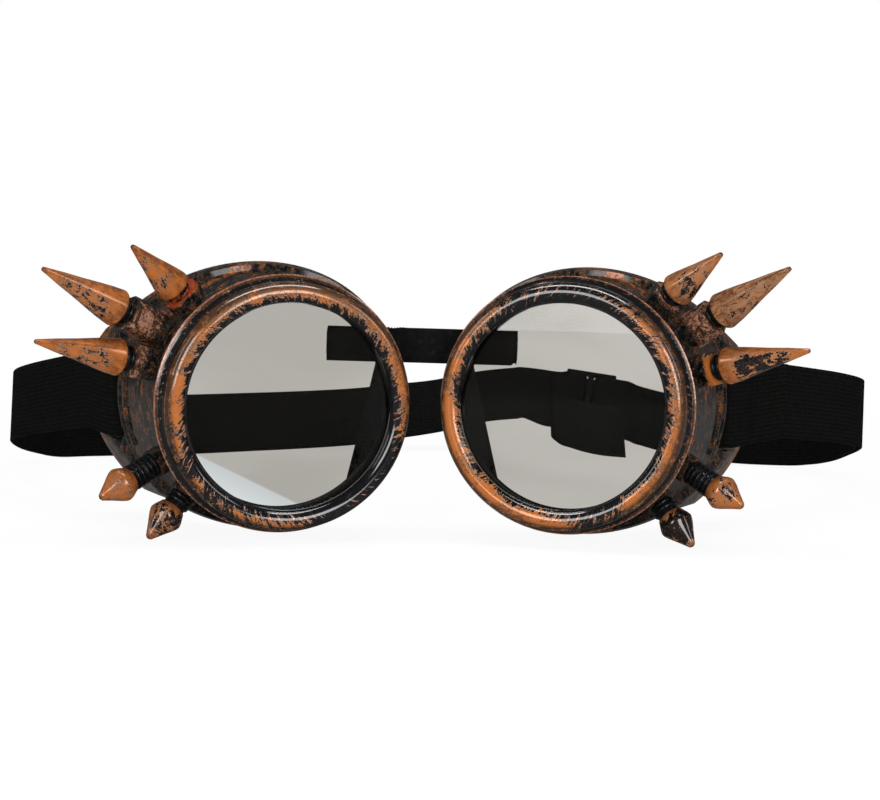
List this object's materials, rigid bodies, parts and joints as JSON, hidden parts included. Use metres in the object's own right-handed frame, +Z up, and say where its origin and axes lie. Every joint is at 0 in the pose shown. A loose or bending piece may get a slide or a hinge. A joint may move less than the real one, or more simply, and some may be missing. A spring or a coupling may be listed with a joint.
{
  "type": "steampunk goggles",
  "caption": "Round-lens goggles with screw-on bezels, spiked and studded flared eyecups, a nose strip and an elastic head strap with a slider.",
  "frame": {"origin": "middle of the bottom of the bounding box: the goggles stand on the table plane z = 0", "axes": "+X to the viewer's right along the row of lenses, +Y from the lenses to the back of the strap, +Z up"},
  "size_m": [0.2496, 0.2017, 0.0692],
  "materials": {
    "copper_paint": "orange copper paint dry-brushed over glossy black, with tan scuffs",
    "clear_lens": "clear with a slight warm grey tint",
    "seal_rubber": "matte black",
    "black_plastic": "smooth black plastic",
    "black_elastic": "matte black woven elastic with fine ribs along its length"
  },
  "bodies": {
    "bridge": {"nose_strip": "black_plastic", "head_strap": "black_elastic"},
    "left_cup": {"left_eyecup": "copper_paint", "left_lens_seal": "seal_rubber", "left_upper_spike": "copper_paint", "left_middle_spike": "copper_paint", "left_side_spike": "copper_paint", "left_side_stud": "copper_paint", "left_lower_stud": "copper_paint"},
    "left_lens": {"left_lens": "clear_lens"},
    "left_ring": {"left_bezel": "copper_paint"},
    "right_cup": {"right_eyecup": "copper_paint", "right_lens_seal": "seal_rubber", "right_upper_spike": "copper_paint", "right_middle_spike": "copper_paint", "right_side_spike": "copper_paint", "right_side_stud": "copper_paint", "right_lower_stud": "copper_paint"},
    "right_lens": {"right_lens": "clear_lens"},
    "right_ring": {"right_bezel": "copper_paint"},
    "slider": {"strap_slider": "black_plastic"}
  },
  "joints": [
    {"name": "left_cup_slide", "type": "slide", "parent": "bridge", "child": "left_cup", "axis": [-0.9999, -0.001, 0.0105], "range_m": [-0.003, 0.004], "deforming": ["head_strap"]},
    {"name": "left_lens_slide", "type": "slide", "parent": "left_cup", "child": "left_lens", "axis": [0.3179, -0.9477, -0.027], "range_m": [0, 0.003]},
    {"name": "left_bezel_turn", "type": "hinge", "parent": "left_lens", "child": "left_ring", "pos_m": [-0.03408, -0.08418, 0.03175], "axis": [0.3179, -0.9477, -0.027], "range_deg": [0, 720]},
    {"name": "right_cup_slide", "type": "slide", "parent": "bridge", "child": "right_cup", "axis": [0.9999, 0.001, -0.0105], "range_m": [-0.003, 0.004], "deforming": ["head_strap"]},
    {"name": "right_lens_slide", "type": "slide", "parent": "right_cup", "child": "right_lens", "axis": [-0.2588, -0.9654, 0.0311], "range_m": [0, 0.003]},
    {"name": "right_bezel_turn", "type": "hinge", "parent": "right_lens", "child": "right_ring", "pos_m": [0.02962, -0.08261, 0.03275], "axis": [-0.2588, -0.9654, 0.0311], "range_deg": [0, 720]},
    {"name": "strap_slider_slide", "type": "slide", "parent": "bridge", "child": "slider", "axis": [0.9807, -0.15, -0.1257], "range_m": [-0.003, 0.003], "deforming": ["head_strap"]}
  ],
  "couplings": [
    {"joint": "left_lens_slide", "follows": "left_bezel_turn", "m_per_rad": 0.00023873},
    {"joint": "right_lens_slide", "follows": "right_bezel_turn", "m_per_rad": 0.00023873}
  ]
}
